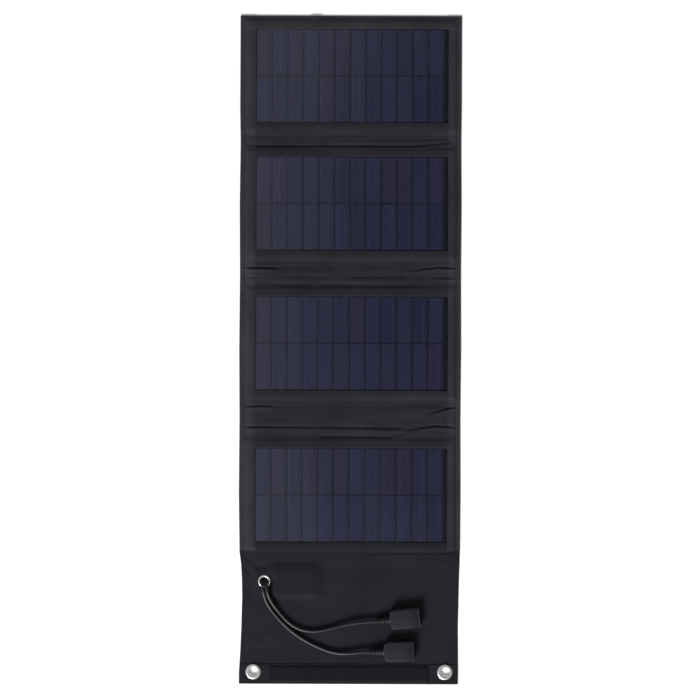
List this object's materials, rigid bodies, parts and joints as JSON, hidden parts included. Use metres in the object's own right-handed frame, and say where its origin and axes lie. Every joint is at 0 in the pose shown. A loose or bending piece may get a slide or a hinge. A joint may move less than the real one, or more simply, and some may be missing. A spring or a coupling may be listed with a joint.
{
  "type": "folding solar charger",
  "caption": "Cloth camping solar charger lying open: laminated panels joined by cloth folds, and a pocket flap with USB leads and hanging eyelets.",
  "frame": {"origin": "middle of the opened charger in X and Y, on the surface it lies on", "axes": "+Z up from that surface, +Y along the charger from the pocket flap to the section with the top border, +X to the right seen from above with +Y up"},
  "size_m": [0.184, 0.555, 0.0088],
  "materials": {
    "cloth": "matte woven",
    "board": "matte",
    "cells": "gloss",
    "ribbon": "satin",
    "film": "gloss",
    "wire": "satin",
    "tape": "matte pile",
    "nickel": "polished",
    "circuit_board": "satin",
    "component": "matte",
    "sleeve": "satin",
    "lead_jacket": "gloss",
    "moulding": "satin",
    "insulator": "satin",
    "contact": "polished"
  },
  "bodies": {
    "section_1": {"back_cover_1": "cloth", "panel_board_1": "board", "cells_1": "cells", "tab_ribbons_1": "ribbon", "clear_film_1": "film", "front_frame_1": "cloth"},
    "section_2": {"back_cover_2": "cloth", "panel_board_2": "board", "cells_2": "cells", "tab_ribbons_2": "ribbon", "clear_film_2": "film", "front_frame_2": "cloth", "hinge_cloth_12": "cloth", "link_wires_12": "wire"},
    "section_3": {"back_cover_3": "cloth", "panel_board_3": "board", "cells_3": "cells", "tab_ribbons_3": "ribbon", "clear_film_3": "film", "front_frame_3": "cloth", "hinge_cloth_23": "cloth", "link_wires_23": "wire", "loop_strip": "tape"},
    "section_4": {"back_cover_4": "cloth", "panel_board_4": "board", "cells_4": "cells", "tab_ribbons_4": "ribbon", "clear_film_4": "film", "front_frame_4": "cloth", "hinge_cloth_34": "cloth", "link_wires_34": "wire", "hinge_cloth_flap": "cloth", "link_wires_flap": "wire"},
    "flap": {"flap_back": "cloth", "flap_front": "cloth", "hem_band": "cloth", "hook_strip": "tape", "hanging_eyelets": "nickel", "hanging_eyelet_washers": "nickel", "lead_eyelet": "nickel", "lead_eyelet_washer": "nickel", "regulator_board": "circuit_board", "regulator_coil": "component", "regulator_chip": "component", "regulator_capacitors": "component", "regulator_sleeve": "sleeve", "feed_wires": "wire", "lead_cores": "wire", "usb_lead_lower": "lead_jacket", "usb_lead_upper": "lead_jacket", "strain_relief_lower": "moulding", "strain_relief_upper": "moulding", "socket_body_lower": "moulding", "socket_body_upper": "moulding", "socket_shell_lower": "nickel", "socket_shell_upper": "nickel", "socket_tongue_lower": "insulator", "socket_tongue_upper": "insulator", "socket_contacts_lower": "contact", "socket_contacts_upper": "contact"}
  },
  "joints": [
    {"name": "fold_12", "type": "hinge", "parent": "section_2", "child": "section_1", "pos_m": [0, 0.1745, 0.0035], "axis": [1, 0, 0], "range_deg": [0, 180]},
    {"name": "fold_23", "type": "hinge", "parent": "section_3", "child": "section_2", "pos_m": [0, 0.0635, 0.00535], "axis": [1, 0, 0], "range_deg": [0, 180]},
    {"name": "fold_34", "type": "hinge", "parent": "section_4", "child": "section_3", "pos_m": [0, -0.0575, 0.0081], "axis": [1, 0, 0], "range_deg": [0, 180]},
    {"name": "fold_flap", "type": "hinge", "parent": "section_4", "child": "flap", "pos_m": [0, -0.176, 0.0127], "axis": [-1, 0, 0], "range_deg": [0, 180]}
  ]
}
